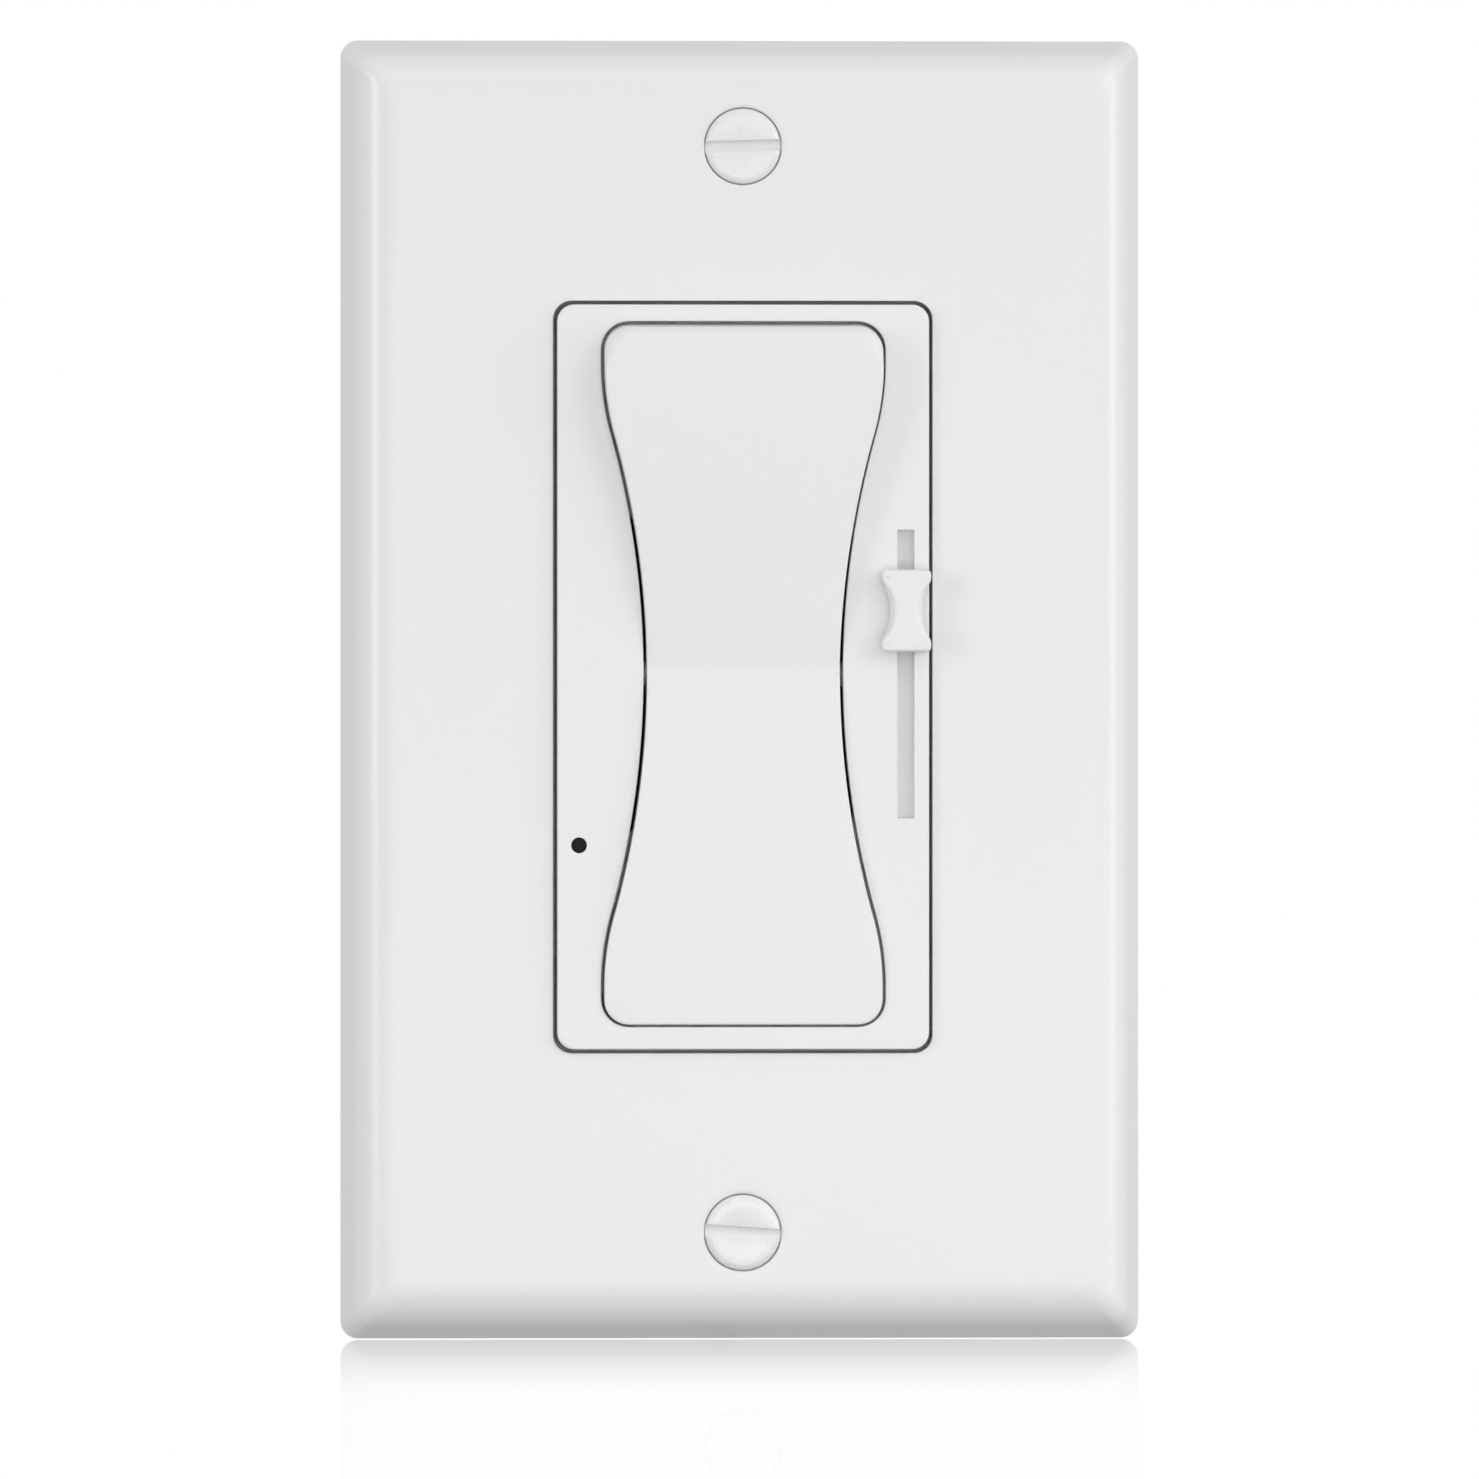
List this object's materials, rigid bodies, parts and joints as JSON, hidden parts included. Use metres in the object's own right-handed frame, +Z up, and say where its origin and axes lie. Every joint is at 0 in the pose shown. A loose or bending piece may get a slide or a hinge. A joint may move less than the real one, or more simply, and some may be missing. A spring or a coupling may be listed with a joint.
{
  "type": "slide dimmer switch with wall plate",
  "caption": "Wall-box dimmer: hourglass rocker paddle and small side slider in a rectangular bezel, framed by a bevelled wall plate, with strap and rear housing.",
  "frame": {"origin": "middle of the wall plate on the wall plane, where the back of the plate rim and of the mounting strap lie", "axes": "+Z up along the plate, +X to the right seen from the room, -Y out into the room, +Y into the wall box"},
  "size_m": [0.0716, 0.0391, 0.116],
  "materials": {
    "white_plastic": "smooth moulded white, semi-gloss",
    "white_paint": "baked white enamel on the screw heads",
    "smoked_lens": "near-black polished light pipe",
    "aluminium": "brushed stamped sheet",
    "zinc_steel": "bright zinc plating",
    "spring_steel": "drawn wire",
    "brass": "stamped and turned brass",
    "silver_contact": "silver-faced contact rivet",
    "copper": "enamelled copper wire",
    "housing_plastic": "charcoal moulding, fine texture",
    "base_plastic": "brown moulding compound",
    "fibre": "tan fibreboard",
    "board_laminate": "green-coated glass laminate",
    "black_epoxy": "moulded epoxy",
    "ferrite": "dark powder-coated ring core",
    "yellow_case": "yellow capacitor case",
    "sleeve": "dark blue heat-shrunk sleeve",
    "ceramic": "pale ceramic and thermal pad",
    "green_paint": "green-dyed screw",
    "led_resin": "clear-white lamp resin"
  },
  "bodies": {
    "device": {"bezel": "white_plastic", "box_screw_bottom": "zinc_steel", "box_screw_top": "zinc_steel", "choke_core": "ferrite", "choke_winding": "copper", "circuit_board": "board_laminate", "common_contact": "brass", "controller_chip": "black_epoxy", "film_capacitor": "yellow_case", "filter_capacitor": "sleeve", "fixed_tip_lower": "silver_contact", "fixed_tip_upper": "silver_contact", "fuse_resistor": "ceramic", "ground_screw": "green_paint", "housing_screw_lower_left": "zinc_steel", "housing_screw_lower_right": "zinc_steel", "housing_screw_upper_left": "zinc_steel", "housing_screw_upper_right": "zinc_steel", "indicator_led": "led_resin", "indicator_lens": "smoked_lens", "lower_contact": "brass", "mounting_strap": "aluminium", "plate_screw_bottom": "white_paint", "plate_screw_top": "white_paint", "pot_case": "zinc_steel", "rear_housing": "housing_plastic", "screw_retainer_bottom": "fibre", "screw_retainer_top": "fibre", "switch_base": "base_plastic", "terminal_bar_line": "brass", "terminal_bar_load": "brass", "terminal_bar_traveller": "brass", "terminal_clamp_line": "zinc_steel", "terminal_clamp_load": "zinc_steel", "terminal_clamp_traveller": "zinc_steel", "terminal_screw_line": "brass", "terminal_screw_load": "brass", "terminal_screw_traveller": "brass", "triac_body": "black_epoxy", "triac_lead_1": "zinc_steel", "triac_lead_2": "zinc_steel", "triac_lead_3": "zinc_steel", "triac_pad": "ceramic", "triac_screw": "zinc_steel", "triac_tab": "aluminium", "upper_contact": "brass", "wall_plate": "white_plastic"},
    "paddle": {"paddle": "white_plastic", "plunger_spring": "spring_steel"},
    "plunger": {"contact_plunger": "base_plastic"},
    "contact": {"contact_rocker": "brass", "moving_tip_upper": "silver_contact", "moving_tip_lower": "silver_contact"},
    "slider": {"dimmer_knob": "white_plastic", "slide_shutter": "white_plastic", "pot_lever": "zinc_steel"}
  },
  "joints": [
    {"name": "paddle_rock", "type": "hinge", "parent": "device", "child": "paddle", "pos_m": [0, -0.0036, 0.00135], "axis": [1, 0, 0], "range_deg": [-4, 0]},
    {"name": "plunger_slide", "type": "slide", "parent": "paddle", "child": "plunger", "axis": [0, -0.9994, -0.0349], "range_m": [0, 0.0008], "stiffness_N_per_m": 1000, "deforming": ["plunger_spring"]},
    {"name": "contact_tilt", "type": "hinge", "parent": "device", "child": "contact", "pos_m": [0, 0.0096, 0.00135], "axis": [1, 0, 0], "range_deg": [0, 12]},
    {"name": "dimmer_slide", "type": "slide", "parent": "device", "child": "slider", "axis": [0, 0, 1], "range_m": [-0.01515, 0.00385]}
  ],
  "couplings": [
    {"joint": "contact_tilt", "follows": "paddle_rock", "ratio": -3}
  ]
}
